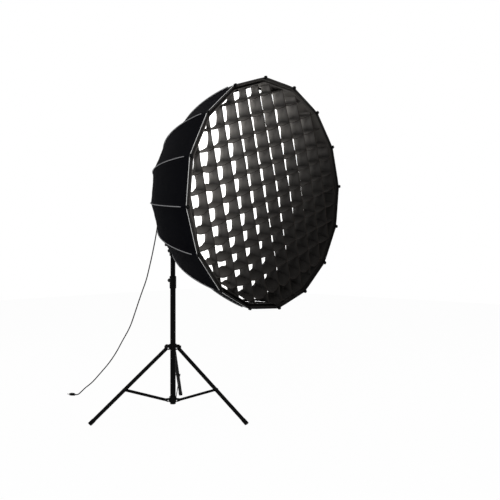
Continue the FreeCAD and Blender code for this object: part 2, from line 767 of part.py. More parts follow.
def polygon_ring(outer, inner, depth, length):
    return polygon_plate(outer, depth, length).cut(polygon_plate(inner, depth, length))


def side_wedge(rear, front):
    """The space of one side of the box between two distances in front of the pivot."""
    half = math.radians(side_angle / 2)
    reach = rim_corner_r + 100
    corners = [ahead(rear), ahead(rear, -reach * math.tan(half), reach),
               ahead(rear, reach * math.tan(half), reach)]
    return Part.Face(Part.makePolygon(corners + corners[:1])).extrude(Y * -(front - rear))


def make_panels():
    """One side of the shell: its long panel, and the front hem sewn to it."""
    half = math.radians(side_angle / 2)
    wide = 2 * rim_corner_r * math.sin(half) + 20
    strip = band(0, cloth_hub_r, -cloth, 0, wide, math.cos(half))
    seam = rim_front - hem_depth
    return strip.common(side_wedge(0, seam - hem_gap)), strip.common(side_wedge(seam, rim_front + 50))


rib_top = -(cloth + rib_gap)
rib_bottom = rib_top - rib_size
rib_middle = hub_plane - (rib_top + rib_bottom) / 2


def make_rib():
    rib = band(-rib_front_reach, rib_hub_r, rib_bottom, rib_top, rib_size)
    eye_centre = ahead(rib_middle, 0, rib_hub_r)
    eye = rod(rib_size, eye_centre - X * (rib_size / 2), eye_centre + X * (rib_size / 2))
    hole = rod(hinge_pin_r + pin_clearance, eye_centre - X * 5, eye_centre + X * 5)
    return rib.fuse(eye).cut(hole).removeSplitter()


def make_hinge_block():
    """A slotted block on the ring's flange, in which one rib turns on its pin."""
    low = pivot_height + hub_boss_r + 0.2
    high = pivot_height + rib_hub_r + 7
    front = flange_front + block_depth
    body = block(-block_width / 2, block_width / 2, -front, -flange_front, low, high)
    half = rib_size / 2 + seat_gap
    slot = block(-half, half, -front - 1, -flange_front - 0.01, pivot_height + rib_hub_r - rib_size - 1,
                 high + 1)
    centre = ahead(rib_middle, 0, rib_hub_r)
    return body.cut(slot).cut(rod(hinge_pin_r, centre - X * 10, centre + X * 10))


def make_speed_ring():
    """The ring's tube with its three claws, and the flange that carries the hinge blocks."""
    tube = mouth_bore_r - 0.4
    bore = tube - 5.4
    back = groove_rear + 0.5
    face = mouth_front + seat_gap
    behind = flange_front - flange_thickness
    profile = [(bore, back), (tube, back), (tube, face), (hub_boss_r + 2, face),
               (hub_boss_r + 2, behind - 6),
               (flange_r, behind), (flange_r, flange_front - 0.3), (hub_boss_r, flange_front - 0.3),
               (hub_boss_r, flange_front + 12), (bore, flange_front + 12)]
    ring = revolved(profile, pivot, Y * -1)
    for tab in range(3):
        claw = ring_sector(tube - 2, groove_r - 0.5, groove_rear + 0.6, groove_front - 0.4, tab_angle,
                           tab * 120 + lock_turn)
        ring = ring.fuse(claw)
    return ring.removeSplitter()


def liner_radius(depth):
    """Outer corner radius of the lining band, which is straight from front to back."""
    front = rib_radius(band_front) + rib_bottom - liner_gap
    back = rib_radius(band_depth) + rib_bottom - liner_gap
    return front + (back - front) * (depth - band_front) / (band_depth - band_front)


def rib_inner_radius(depth):
    """Corner radius of the ribs' inner faces at a depth."""
    slope = rib_radius(depth + 1) - rib_radius(depth)
    return rib_radius(depth) + rib_bottom * math.hypot(1, slope)


def make_tip_cap():
    """A rounded cap that stands outwards just in front of the cloth, on the end of a rib."""
    axis = rim_front + seat_gap + cap_r
    outer = rim_corner_r + cap_out
    cap = rod(cap_r, ahead(axis, 0, rim_corner_r - cap_in), ahead(axis, 0, outer))
    cap = cap.makeFillet(cap_round, [e for e in cap.Edges if e.BoundBox.ZMin > pivot_height + outer - 0.1])
    half = rib_size / 2 + cap_clearance
    low = pivot_height + rim_corner_r + rib_bottom - cap_clearance
    hole = block(-half, half, -(rim_front + rib_front_reach + cap_clearance), -rim_front, low,
                 low + rib_size + 2 * cap_clearance)
    return cap.cut(hole)


def build_softbox():
    save("speed_ring", tilted(make_speed_ring()))
    save("rib_hinge_blocks", *round_box(make_hinge_block()))
    centre = ahead(rib_middle, 0, rib_hub_r)
    half = block_width / 2
    save("rib_hinge_pins", *round_box(rod(hinge_pin_r, centre - X * half, centre + X * half)))
    save("ribs", *round_box(make_rib()))
    save("rib_tip_caps", *round_box(make_tip_cap()))
    save("shell_panels", *[side for panel in make_panels() for side in round_box(panel, side_angle / 2)])
    piping = band(piping_stop, cloth_hub_r + 12, seam_gap, seam_gap + piping_height, piping_width)
    save("seam_piping", *round_box(piping))
    rims = [(liner_radius(depth) - inset, depth) for inset in (0, band_cloth) for depth in (band_front,
                                                                                            band_depth)]
    outer = Part.makeLoft([rim_polygon(*rim) for rim in rims[:2]], True, True)
    inner = Part.makeLoft([rim_polygon(*rim) for rim in rims[2:]], True, True)
    save("front_band", tilted(outer.cut(inner)))
    save("rim_binding", tilted(polygon_ring(rim_corner_r + binding_cloth, rim_corner_r + 0.05, 0,
                                            binding_width)))
    inner_r = rib_inner_radius(inner_diffuser_depth + diffuser_cloth) - seat_gap
    save("inner_diffuser", tilted(polygon_plate(inner_r, inner_diffuser_depth, diffuser_cloth)))
    front_r = liner_radius(front_diffuser_depth + diffuser_cloth) - band_cloth - seat_gap
    save("front_diffuser", tilted(polygon_plate(front_r, front_diffuser_depth, diffuser_cloth)))


# ---- grid ------------------------------------------------------------------------------
border_outer = liner_radius(grid_front + grid_depth) - band_cloth - seat_gap
border_inner = border_outer - border_cloth
grid_back = grid_front + grid_depth
grid_middle = grid_front + grid_depth / 2
flat_distance = (border_inner * math.cos(math.radians(side_angle / 2))) - end_clearance


def half_length(place):
    """Half of the chord across the border's flats at this distance from the middle."""
    limits = [flat_distance]
    for k in range(1, sides // 4):
        angle = math.radians(k * side_angle)
        limits.append((flat_distance - (abs(place) + grid_cloth) * math.cos(angle)) / math.sin(angle))
    return min(limits)


def strip_places(pitch, first):
    """Places of the strips that are long enough, from one border to the other."""
    reach = int(rim_corner_r / pitch) + 1
    places = [first + pitch * i for i in range(-reach, reach + 1)]
    return [p for p in places if abs(p) < flat_distance - grid_cloth and half_length(p) > shortest_strip]


columns = strip_places(column_pitch, column_pitch / 2)
rows = strip_places(row_pitch, row_offset)


def comb(place, crossings, slots_from_front):
    """One strip drawn in the plane of its length and depth, with half-depth slots."""
    half = half_length(place)
    gap = grid_cloth / 2 + slot_clearance
    plain, cut = (grid_back, grid_front) if slots_from_front else (grid_front, grid_back)
    root = grid_middle + (0.2 if slots_from_front else -0.2)
    points = [(-half, plain), (-half, cut)]
    for crossing in sorted(crossings):
        if abs(crossing) + gap + 2 < half:
            points += [(crossing - gap, cut), (crossing - gap, root), (crossing + gap, root),
                       (crossing + gap, cut)]
    return points + [(half, cut), (half, plain)]


def make_strip(place, crossings, upright):
    points = []
    for length, depth in comb(place, crossings, upright):
        start = place - grid_cloth / 2
        x, z = (start, length) if upright else (length, start)
        points.append(ahead(rim_front - depth, x, z))
    face = Part.Face(Part.makePolygon(points + points[:1]))
    strip = face.extrude((X if upright else Z) * grid_cloth)
    return tilted(turned(strip, box_roll - side_angle / 2, Y, pivot))


def build_grid():
    save("grid_columns", *[make_strip(place, rows, True) for place in columns])
    save("grid_rows", *[make_strip(place, columns, False) for place in rows])
    border = polygon_ring(border_outer, border_inner, grid_front, grid_depth)
    save("grid_border", tilted(border))


# ---- mains lead and plug -----------------------------------------------------------------
def cord_path(points):
    """Straight runs joined by tangent arcs, each as large as its two runs allow."""
    edges = []
    start = points[0]
    for before, corner, after in zip(points, points[1:], points[2:]):
        back = before - corner
        on = after - corner
        half_turn = (math.pi - back.getAngle(on)) / 2
        trim = 0.45 * min(back.Length, on.Length)
        radius = trim / math.tan(half_turn)
        print("cord arc radius %.1f, run %.1f" % (radius, back.Length))
        first = corner + back.normalize() * trim
        last = corner + on.normalize() * trim
        bisector = (back + on).normalize()
        middle = corner + bisector * (radius / math.cos(half_turn) - radius)
        edges.append(Part.makeLine(start, first))
        edges.append(Part.Arc(first, middle, last).toShape())
        start = last
    edges.append(Part.makeLine(start, points[-1]))
    return Part.Wire(edges)


def build_lead():
    exit_point = ahead(panel_rear - 0.01, inlet_x)
    collar = ahead(panel_rear - relief_collar, inlet_x)
    gland = rod(inlet_r - 2 * fit_gap, ahead(lamp_rear + 3, inlet_x), exit_point)
    gland = gland.fuse(rod(inlet_r + 2, exit_point, collar))
    cone = Part.makeCone(cord_d / 2 + 2.9, cord_d / 2 + 0.8, relief_length - relief_collar, collar, Y)
    save("strain_relief", tilted(gland.fuse(cone).removeSplitter()))
    points = [Vector(*p) for p in cord_points]
    tip = turned_vector(ahead(panel_rear - relief_length, inlet_x) - pivot, X, rest_tilt) + pivot
    points[0] = Vector(inlet_x, tip.y + seat_gap + 0.3, tip.z)
    path = cord_path(points)
    circle = Part.Wire(Part.makeCircle(cord_d / 2, points[0], points[1] - points[0]))
    cord = path.makePipeShell([circle], True, False)
    ideal = math.pi * (cord_d / 2) ** 2 * path.Length
    print("cord length %.0f, volume %.0f, section times length %.0f" % (path.Length, cord.Volume, ideal))
    save("mains_cord", cord)

    end = points[-1]
    along = (end - points[-2]).normalize()
    level = Vector(along.x, along.y, 0).normalize()
    across = level.cross(Z)
    base = Vector(end.x, end.y, plug_height / 2) + level * 0.05
    outline = [(0, 5), (9, 5.6), (13, plug_width / 2), (plug_length, plug_width / 2 - 1.5)]
    corners = [base + level * a + across * w for a, w in outline]
    corners += [base + level * a - across * w for a, w in reversed(outline)]
    body = Part.Face(Part.makePolygon(corners + corners[:1])).extrude(Z * plug_height)
    body.translate(Z * (-plug_height / 2))
    pins = []
    for side in (-1, 1):
        root = base + level * (plug_length + 0.01) + across * (side * plug_pin_spacing / 2)
        pins.append(rod(plug_pin_r, root, root + level * plug_pin_length))
    save("mains_plug", body, *pins)


build_stand()
build_column()
build_yoke()
build_lamp()
build_softbox()
build_grid()
build_lead()
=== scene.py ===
import bpy
import json
import math
from mathutils import Matrix, Vector, noise


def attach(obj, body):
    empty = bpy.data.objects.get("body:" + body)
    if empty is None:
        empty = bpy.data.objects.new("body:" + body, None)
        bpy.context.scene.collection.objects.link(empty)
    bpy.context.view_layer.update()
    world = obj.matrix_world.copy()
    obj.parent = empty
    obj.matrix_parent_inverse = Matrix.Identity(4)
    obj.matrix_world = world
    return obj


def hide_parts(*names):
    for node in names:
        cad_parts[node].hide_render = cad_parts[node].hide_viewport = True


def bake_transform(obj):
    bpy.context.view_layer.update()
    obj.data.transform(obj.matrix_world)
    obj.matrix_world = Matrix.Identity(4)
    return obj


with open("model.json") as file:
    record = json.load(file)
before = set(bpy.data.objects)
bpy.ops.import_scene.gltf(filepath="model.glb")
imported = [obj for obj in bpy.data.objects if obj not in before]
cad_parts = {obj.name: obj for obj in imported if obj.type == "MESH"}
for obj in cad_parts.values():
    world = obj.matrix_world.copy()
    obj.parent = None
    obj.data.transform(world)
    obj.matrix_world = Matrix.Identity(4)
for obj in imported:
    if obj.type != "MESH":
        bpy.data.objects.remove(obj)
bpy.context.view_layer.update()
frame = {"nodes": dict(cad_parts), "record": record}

# ---- driving sizes, in metres ------------------------------------------------
PIVOT = Vector((0, 0, 1.3))
REST_TILT = math.radians(2.64)
SIDES = 16
SIDE_ANGLE = 2 * math.pi / SIDES
BOX_ROLL = math.radians(-8.32)
RIM_R = 0.6
RIM_FRONT = 0.7803             # rim plane in front of the pivot
BOX_DEPTH = 0.6
HUB_R = 0.07
DEPTH_POWER = 1.21
RADIUS_POWER = 3.35
CLOTH_HUB_R = 0.092
BAND_DEPTH = 0.096
LINER_INSET = 0.007            # lining band inside the seams
DIFFUSER_DEPTH = 0.0925
INNER_DIFFUSER_DEPTH = 0.3005
HEM_WIDTH = 0.013              # black hem round a diffuser
DRAW_IN = 0.018                # how far a panel's middle draws in, as a part of its width
PUCKER = 0.0022                # how far a panel's cloth is uneven
DEEPEST_AIM = BOX_DEPTH - 0.16    # panels draw in towards the axis, but to nowhere behind this
PIPING_STOP = 0.049
PIPING_R = 0.0021
CAP_FRONT = 0.0036             # a tip cap's middle in front of the rim
CAP_HALF_WIDTH = 0.0088
CAP_HALF_DEPTH = 0.0068
CAP_SQUARENESS = 0.7           # 1 is round, and less is squarer

GRID_FRONT = 0.0085
GRID_BACK = 0.0875
BORDER_FRONT = 0.0055
COLUMN_PITCH = 0.101
ROW_PITCH = 0.088
ROW_OFFSET = -0.022
SHORTEST_STRIP = 0.08
COLUMN_LEAN = 0.038            # the columns' lean in their own plane
ROW_TILT = 0.006               # rise of a row from its front edge to its back edge
ROW_DROOP = 0.075              # added rise for each metre below the middle
HEM_R = 0.0013
CLOTH_THICKNESS = 0.0009
PULLED_CORNER = 0.05           # how far the loosest back edges are drawn forwards, by place
PULLED_TOP = 0.026
PULLED_LOW = 0.014
COLUMN_SPREAD = 0.1            # how the columns' ends move on the slack side
COLUMN_GATHER = 0.3            # how the columns' ends draw in on the tight side
FULL_SAG = 0.016               # sag of a row's front edge in its first whole cell
ROW_SAG = 0.0065
LOWEST_SAG = 0.022             # added in the lowest rows
ROW_BOW = 0.08
ROW_SEED = 40                  # first seed of the rows, after the columns' seeds

CORD_DIAMETER = 0.0072
CORD_ROUTE = [
    (41, 127.7, 1305.9), (41, 150, 1304), (41, 170, 1290), (42, 183, 1267), (42, 189, 1236),
    (43, 191, 1185), (41, 193, 1121), (33, 201, 1053), (24, 220, 955), (13, 238, 867),
    (8, 260, 791), (1, 295, 715), (-6, 327, 639), (-13, 358, 561), (-20, 392, 483),
    (-32, 448, 403), (-43, 499, 322), (-57, 564, 242), (-73, 638, 170), (-87, 704, 105),
    (-100, 765, 64), (-107, 803, 32), (-113, 833, 8), (-119, 862, 7),
]


# ---- cloth details, in metres --------------------------------------------------
NYLON_THREAD = 0.0011
GRID_THREAD = 0.0012
LIT_THREAD_TURN = 4200.0       # radians of thread pattern for each metre
STITCH_LENGTH = 0.0045
STITCH_HALF_WIDTH = 0.0006
PAINTED_LIGHT_START = -2 / 3            # where painted light on the grid's cloth starts to rise out of its painted shade, about the pivot
PAINTED_LIGHT_END = 0.72
DARKEST_PAINTED_SHADE = 0.11                 # the darkest painted shade's share of the cloth's colour


# ---- shader maths ------------------------------------------------------------
class Value:
    """A shader socket. Arithmetic on it adds Math nodes to its material."""

    def __init__(self, tree, socket=None):
        self.tree = tree
        self.socket = socket

    def node(self, kind, settings=None, inputs=None, output=0):
        made = self.tree.nodes.new(kind)
        for name, value in (settings or {}).items():
            setattr(made, name, value)
        for name, value in (inputs or {}).items():
            if isinstance(value, Value):
                self.tree.links.new(value.socket, made.inputs[name])
            else:
                made.inputs[name].default_value = value
        return Value(self.tree, made.outputs[output] if made.outputs else None)

    def math(self, operation, *values):
        return self.node("ShaderNodeMath", {"operation": operation}, dict(enumerate(values)))

    def __add__(self, other):
        return self.math("ADD", self, other)

    def __sub__(self, other):
        return self.math("SUBTRACT", self, other)

    def __rsub__(self, other):
        return self.math("SUBTRACT", other, self)

    def __mul__(self, other):
        return self.math("MULTIPLY", self, other)

    def sine(self):
        return self.math("SINE", self)

    def absolute(self):
        return self.math("ABSOLUTE", self)

    def fraction(self):
        return self.math("FRACT", self)

    def larger(self, other):
        return self.math("MAXIMUM", self, other)

    def ramp(self, low, high):
        """0 below low, 1 above high, and smooth between them."""
        inputs = {"Value": self, "From Min": low, "From Max": high}
        return self.node("ShaderNodeMapRange", {"interpolation_type": "SMOOTHSTEP"}, inputs)

    def above(self, edge):
        return self.math("GREATER_THAN", self, edge)

    def mix(self, low, high):
        """A colour between two colours, by this value."""
        return self.node("ShaderNodeMix", {"data_type": "RGBA"}, {0: self, 6: low, 7: high}, 2)


def rgba(colour):
    return (*colour, 1.0)


def new_finish(name, colour, roughness, metallic=0.0, **sockets):
    """A Principled material with its constants set, and a Value to build its maths from."""
    material = bpy.data.materials.new(name)
    material.use_nodes = True
    shader = material.node_tree.nodes["Principled BSDF"]
    shader.inputs["Base Color"].default_value = rgba(colour)
    shader.inputs["Roughness"].default_value = roughness
    shader.inputs["Metallic"].default_value = metallic
    for socket, value in sockets.items():
        shader.inputs[socket.replace("_", " ")].default_value = value
    return material, shader, Value(material.node_tree)


def link(value, shader, socket):
    value.tree.links.new(value.socket, shader.inputs[socket])


def solid_noise(start, scale, detail=2.0):
    place = start.node("ShaderNodeTexCoord", output=3)
    inputs = {"Vector": place, "Scale": scale, "Detail": detail}
    return start.node("ShaderNodeTexNoise", None, inputs)


def surface_place(start):
    """The two metric surface coordinates of a made piece, as values."""
    place = start.node("ShaderNodeTexCoord", output=2)
    across = start.node("ShaderNodeSeparateXYZ", None, {0: place}, 0)
    along = start.node("ShaderNodeSeparateXYZ", None, {0: place}, 1)
    return across, along


def object_place(start):
    """The sideways and upward places of a point of the part, as values."""
    place = start.node("ShaderNodeTexCoord", output=3)
    sideways = start.node("ShaderNodeSeparateXYZ", None, {0: place}, 0)
    upward = start.node("ShaderNodeSeparateXYZ", None, {0: place}, 2)
    return sideways, upward


def threads(across, along, spacing):
    """Crossed threads at a spacing, from -1 to 1."""
    turn = 2 * math.pi / spacing
    return (across * turn).sine() * (along * turn).sine()


def bump(start, height, strength, distance):
    inputs = {"Height": height, "Strength": strength, "Distance": distance}
    return start.node("ShaderNodeBump", None, inputs)


def woven(name, colour, varied, roughness, thread, strength, **sockets):
    """Woven cloth: two sets of threads in the surface's own metric coordinates."""
    material, shader, start = new_finish(name, colour, roughness, **sockets)
    across, along = surface_place(start)
    weave = threads(across, along, thread)
    patches = solid_noise(start, 9.0, 4.0)
    link((patches * 0.75 + weave * 0.12).mix(rgba(colour), rgba(varied)), shader, "Base Color")
    link(bump(start, weave + patches * 0.6, strength, thread), shader, "Normal")
    return material


def moulded(name, colour, roughness, grain, strength, **sockets):
    """Moulded plastic or rubber with a fine spark-eroded grain."""
    material, shader, start = new_finish(name, colour, roughness, Specular_IOR_Level=0.04, **sockets)
    grains = solid_noise(start, grain, 3.0)
    worn = solid_noise(start, 35.0, 5.0)
    lighter = tuple(c * 1.8 + 0.0015 for c in colour)
    link(worn.mix(rgba(colour), rgba(lighter)), shader, "Base Color")
    link(worn * 0.25 + (roughness - 0.12), shader, "Roughness")
    link(bump(start, grains, strength, 0.0004), shader, "Normal")
    return material


def coated_tube(name, colour, roughness):
    """Black coated tube with faint drawing lines along its length and rubbed places."""
    material, shader, start = new_finish(name, colour, roughness, Specular_IOR_Level=0.04)
    place = start.node("ShaderNodeTexCoord", output=3)
    stretched = start.node("ShaderNodeMapping", None, {"Vector": place, "Scale": (1.0, 1.0, 0.02)})
    lines = start.node("ShaderNodeTexNoise", None, {"Vector": stretched, "Scale": 900.0, "Detail": 2.0})
    rubbed = solid_noise(start, 14.0, 6.0)
    lighter = tuple(c * 2.2 + 0.001 for c in colour)
    link((rubbed * 0.8).mix(rgba(colour), rgba(lighter)), shader, "Base Color")
    link(rubbed * 0.22 + (roughness - 0.1), shader, "Roughness")
    link(bump(start, lines, 0.05, 0.0002), shader, "Normal")
    return material


def metal(name, colour, roughness):
    """Turned or brushed bare metal."""
    material, shader, start = new_finish(name, colour, roughness, metallic=1.0)
    grain = solid_noise(start, 260.0, 4.0)
    darker = tuple(c * 0.7 for c in colour)
    link(grain.mix(rgba(darker), rgba(colour)), shader, "Base Color")
    link(grain * 0.2 + (roughness - 0.1), shader, "Roughness")
    link(bump(start, grain, 0.15, 0.0003), shader, "Normal")
    return material


def lit_cloth(name, brightness):
    """White diffusion cloth, lit from behind by a brightness worked out in the material."""
    material, shader, start = new_finish(name, (0.86, 0.86, 0.85), 0.8)
    across, along = surface_place(start)
    weave = ((across * LIT_THREAD_TURN).sine() + (along * LIT_THREAD_TURN).sine()) * 0.02
    strength = brightness(start) + weave
    white = start.node("ShaderNodeCombineXYZ", None, {0: strength, 1: strength, 2: strength * 0.985})
    link(white, shader, "Emission Color")
    shader.inputs["Emission Strength"].default_value = 1.0
    return material


def even_light(start):
    return solid_noise(start, 5.0, 2.0) * 0.08 + 1.6


def light_from_one_side(start):
    """Brighter to one side and upwards, and nowhere darker than plain white."""
    sideways, upward = object_place(start)
    return (1.75 - sideways * 0.9 + (upward - PIVOT.z) * 0.8).larger(1.02)


def stitched(name, colour, thread_colour, rows):
    """Tight nylon whose first coordinate is the distance from its nearest seam."""
    material, shader, start = new_finish(name, colour, 0.85, Specular_IOR_Level=0.012)
    across, along = surface_place(start)
    weave = threads(across, along, NYLON_THREAD)
    patches = solid_noise(start, 7.0, 5.0)
    creases = solid_noise(start, 28.0, 2.0)
    stitches = (along * (2 * math.pi / STITCH_LENGTH)).sine().above(-0.35)
    seam = 0.0
    for row in rows:
        seam = (STITCH_HALF_WIDTH - (across - row).absolute()).above(0.0) * stitches + seam
    lighter = tuple(c * 2.1 for c in colour)
    cloth = (patches * 0.7 + weave * 0.1).mix(rgba(colour), rgba(lighter))
    link(seam.mix(cloth, rgba(thread_colour)), shader, "Base Color")
    height = weave * 0.35 + patches * 0.5 + creases * 1.2 + seam * 1.5
    link(bump(start, height, 0.3, 0.0012), shader, "Normal")
    return material


def cell_place(start):
    """Where a point of a grid strip is: from its front edge to its back edge, and from one
    crossing to the next, each from 0 to 1."""
    place = start.node("ShaderNodeUVMap", {"uv_map": "cell"})
    inward = start.node("ShaderNodeSeparateXYZ", None, {0: place}, 0)
    along = start.node("ShaderNodeSeparateXYZ", None, {0: place}, 1)
    return inward, along.fraction()


def grid_finish(name, colour, warm, shading):
    """Dull woven cloth with painted shade in the corners where the strips cross, and painted light that
    is brightest on the side that stands nearest the light, falling to painted shade on the other side."""
    material, shader, start = new_finish(name, colour, 0.92, Specular_IOR_Level=0.08)
    across, along = surface_place(start)
    weave = threads(across, along, GRID_THREAD)
    wrinkles = solid_noise(start, 30.0, 3.0)
    folds = solid_noise(start, 11.0, 1.5)
    cloth = (folds * 0.9 + weave * 0.08).mix(rgba(colour), rgba(warm))
    sideways, upward = object_place(start)
    # Painted light and shade: the cloth is painted lighter upwards and to one side, and darker to
    # painted shade on the other, by its place in the part.
    painted_light_and_shade = (upward - sideways).ramp(PIVOT.z + PAINTED_LIGHT_START, PIVOT.z + PAINTED_LIGHT_END)
    painted_shade_colour = tuple(c * DARKEST_PAINTED_SHADE for c in colour)
    if shading:
        # Painted shade in each cell, darkest where the strips cross.
        painted_light_and_shade = painted_light_and_shade * shading(*cell_place(start))
    cloth = painted_light_and_shade.mix(rgba(painted_shade_colour), cloth)
    link(cloth, shader, "Base Color")
    link(bump(start, weave * 0.2 + wrinkles * 1.5 + folds * 2.0, 0.5, 0.004), shader, "Normal")
    return material


# Painted shade on a column: darker at the bottom of each cell, just above the row below it, and towards
# its front edge.
def column_shading(inward, along):
    return (along.ramp(-0.05, 0.55) * 0.75 + 0.25) * (inward.ramp(-0.1, 0.35) * 0.6 + 0.4)


# Painted shade on a row: darker towards the end of each cell, where it meets the next column, and
# towards its front edge.
def row_shading(inward, along):
    return (1.0 - along.ramp(0.3, 1.0) * 0.7) * (inward.ramp(-0.15, 0.5) * 0.45 + 0.55)


def glass(name):
    """Clear lens glass with a faint dusty bloom."""
    material, shader, start = new_finish(name, (0.94, 0.97, 0.97), 0.05, Transmission_Weight=1.0,
                                         IOR=1.46)
    dust = solid_noise(start, 60.0, 6.0)
    link(dust * 0.12 + 0.02, shader, "Roughness")
    return material


def led_finish(name):
    """Yellow phosphor over rows of chips, on a pale plate."""
    material, shader, start = new_finish(name, (0.82, 0.62, 0.12), 0.45)
    place = start.node("ShaderNodeTexCoord", output=3)
    chips = start.node("ShaderNodeTexVoronoi", None, {"Vector": place, "Scale": 420.0})
    link(chips.mix(rgba((0.92, 0.74, 0.2)), rgba((0.66, 0.46, 0.07))), shader, "Base Color")
    link(bump(start, chips, 0.3, 0.0004), shader, "Normal")
    return material


def display_finish(name):
    """Dark gloss window over a display that is off."""
    material, shader, start = new_finish(name, (0.006, 0.009, 0.012), 0.12, Coat_Weight=0.5)
    smears = solid_noise(start, 45.0, 6.0)
    link(smears.mix(rgba((0.004, 0.006, 0.009)), rgba((0.012, 0.017, 0.022))), shader, "Base Color")
    link(smears * 0.3 + 0.04, shader, "Roughness")
    return material


SHELL_CLOTH = stitched("shell_nylon", (0.0009, 0.00095, 0.0016), (0.006, 0.006, 0.0075),
                       (0.0068, 0.0115))
HEM_CLOTH = woven("rim_hem", (0.003, 0.003, 0.0034), (0.006, 0.006, 0.0066), 0.85, 0.0022, 0.6,
                  Specular_IOR_Level=0.04)
SILVER = woven("silver_lining", (0.62, 0.62, 0.63), (0.78, 0.78, 0.8), 0.32, 0.0022, 0.5, Metallic=0.85)
# All four grid cloths carry painted light and painted shade by place; the column and row cloths also
# carry painted shade in their cells.
GRID_CLOTH = grid_finish("grid_cloth", (0.1, 0.093, 0.087), (0.16, 0.15, 0.14), None)
RIM_CLOTH = grid_finish("rim_cloth", (0.024, 0.022, 0.021), (0.04, 0.037, 0.035), None)
COLUMN_CLOTH = grid_finish("grid_column_cloth", (0.13, 0.122, 0.116), (0.2, 0.19, 0.18), column_shading)
ROW_CLOTH = grid_finish("grid_row_cloth", (0.13, 0.12, 0.112), (0.2, 0.187, 0.175), row_shading)
# The front hems are darker than the strips: partly the hem's own darker colour, partly painted shade, as
# the hems face away from the glow behind them.
GRID_HEM_AND_SHADE = woven("grid_hem_and_painted_shade", (0.016, 0.0135, 0.0115), (0.036, 0.03, 0.026), 0.9, 0.0024, 0.5,
                 Specular_IOR_Level=0.06)
PIPING = woven("grey_piping", (0.19, 0.19, 0.197), (0.3, 0.3, 0.31), 0.8, 0.0013, 0.5,
               Specular_IOR_Level=0.15)
BINDING = woven("pale_binding", (0.66, 0.66, 0.65), (0.82, 0.82, 0.81), 0.75, 0.0015, 0.4)
FRONT_GLOW = lit_cloth("front_diffusion_cloth", light_from_one_side)
INNER_GLOW = lit_cloth("inner_diffusion_cloth", even_light)
TUBE_BLACK = coated_tube("coated_tube", (0.0008, 0.0008, 0.0009), 0.56)
YOKE_BLACK = moulded("powder_coat", (0.0014, 0.0014, 0.0016), 0.6, 1400.0, 0.35)
PLASTIC = moulded("moulded_nylon", (0.0009, 0.0009, 0.001), 0.5, 1800.0, 0.3)
LAMP_BLACK = moulded("anodised_body", (0.0028, 0.0028, 0.0031), 0.42, 2200.0, 0.2)
RUBBER = moulded("foot_rubber", (0.0016, 0.0016, 0.0016), 0.8, 900.0, 0.4)
CORD_COVER = moulded("lead_cover", (0.0006, 0.0006, 0.0006), 0.55, 600.0, 0.2)
STEEL = metal("plated_steel", (0.55, 0.55, 0.56), 0.28)
RING_METAL = metal("ring_aluminium", (0.42, 0.42, 0.44), 0.34)
SINK_METAL = metal("sink_aluminium", (0.7, 0.7, 0.72), 0.4)
GLASS = glass("lens_glass")
LED = led_finish("led_phosphor")
DISPLAY = display_finish("display_window")


# ---- geometry helpers --------------------------------------------------------
TILT = Matrix.Translation(PIVOT) @ Matrix.Rotation(REST_TILT, 4, "X") @ Matrix.Translation(-PIVOT)


def ahead(distance, angle=0.0, radius=0.0):
    """A point this far in front of the pivot, at an angle and radius about the box's axis."""
    return TILT @ Vector((radius * math.sin(angle), -distance, PIVOT.z + radius * math.cos(angle)))


def behind_rim(depth, angle, radius):
    return ahead(RIM_FRONT - depth, angle, radius)


def rib_radius(depth):
    part = max(depth, 0.0) / BOX_DEPTH
    return HUB_R + (RIM_R - HUB_R) * (1 - part ** DEPTH_POWER) ** (1 / RADIUS_POWER)


def rib_depth(radius):
    part = (radius - HUB_R) / (RIM_R - HUB_R)
    return BOX_DEPTH * (1 - part ** RADIUS_POWER) ** (1 / DEPTH_POWER)


def seam_profile(start, hub_radius, steps, offset=0.0):
    """(depth, radius) along a seam, moved outwards by an offset."""
    knee = 0.88 * BOX_DEPTH
    depths = [start + (knee - start) * i / steps for i in range(steps)]
    line = [(depth, rib_radius(depth)) for depth in depths]
    top = rib_radius(knee)
    for i in range(steps + 1):
        radius = top + (hub_radius - top) * i / steps
        line.append((rib_depth(radius), radius))
    moved = []
    for i, (depth, radius) in enumerate(line):
        before = line[max(i - 1, 0)]
        after = line[min(i + 1, len(line) - 1)]
        run = math.hypot(after[0] - before[0], after[1] - before[1])
        out = (-(after[1] - before[1]) / run, (after[0] - before[0]) / run)
        moved.append((depth + out[0] * offset, radius + out[1] * offset))
    return moved


def corner_angle(number):
    return BOX_ROLL + number * SIDE_ANGLE


